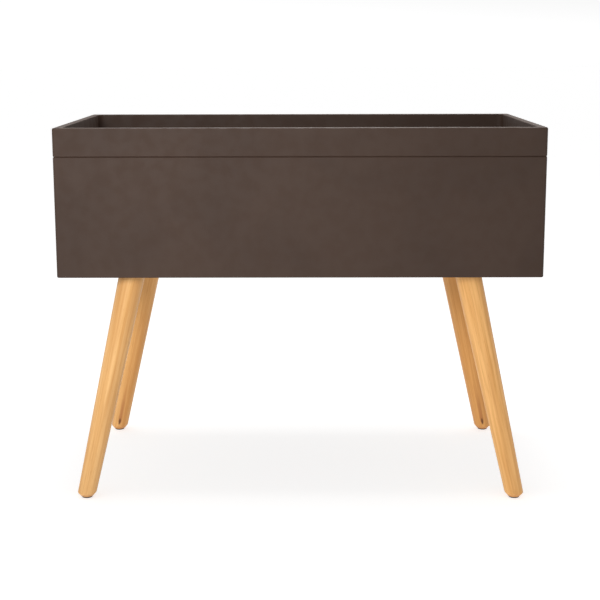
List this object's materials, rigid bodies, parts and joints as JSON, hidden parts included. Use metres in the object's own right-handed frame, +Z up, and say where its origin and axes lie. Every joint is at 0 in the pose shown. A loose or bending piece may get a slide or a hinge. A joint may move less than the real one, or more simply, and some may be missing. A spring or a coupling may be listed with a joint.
{
  "type": "raised planter on legs",
  "caption": "Rectangular trough planter with a lift-out liner in an outer casing, raised on splayed, tapered round wooden legs.",
  "frame": {"origin": "on the ground below the middle of the box", "axes": "+X along the box's length, +Y from the front to the back across its depth, +Z up"},
  "size_m": [0.6, 0.3062, 0.47],
  "materials": {
    "box_brown": "matte, faintly mottled dark brown moulded finish",
    "leg_wood": "honey-coloured turned wood with a clear matt lacquer",
    "plate_zinc": "zinc-plated steel",
    "glide_black": "black plastic",
    "plug_rubber": "black rubber"
  },
  "bodies": {
    "stand": {"casing": "box_brown", "leg_front_left": "leg_wood", "leg_front_right": "leg_wood", "leg_back_left": "leg_wood", "leg_back_right": "leg_wood", "leg_plate_front_left": "plate_zinc", "leg_plate_front_right": "plate_zinc", "leg_plate_back_left": "plate_zinc", "leg_plate_back_right": "plate_zinc", "hanger_bolt_front_left": "plate_zinc", "hanger_bolt_front_right": "plate_zinc", "hanger_bolt_back_left": "plate_zinc", "hanger_bolt_back_right": "plate_zinc", "plate_screws_front_left": "plate_zinc", "plate_screws_front_right": "plate_zinc", "plate_screws_back_left": "plate_zinc", "plate_screws_back_right": "plate_zinc", "foot_glide_front_left": "glide_black", "foot_glide_front_right": "glide_black", "foot_glide_back_left": "glide_black", "foot_glide_back_right": "glide_black"},
    "liner": {"liner": "box_brown"},
    "drain_plug_left": {"drain_plug_left": "plug_rubber"},
    "drain_plug_right": {"drain_plug_right": "plug_rubber"}
  },
  "joints": [
    {"name": "liner_lift", "type": "slide", "parent": "stand", "child": "liner", "axis": [0, 0, 1], "range_m": [0, 0.15]},
    {"name": "drain_plug_left_pull", "type": "slide", "parent": "stand", "child": "drain_plug_left", "axis": [0, 0, -1], "range_m": [0, 0.03]},
    {"name": "drain_plug_right_pull", "type": "slide", "parent": "stand", "child": "drain_plug_right", "axis": [0, 0, -1], "range_m": [0, 0.03]}
  ]
}
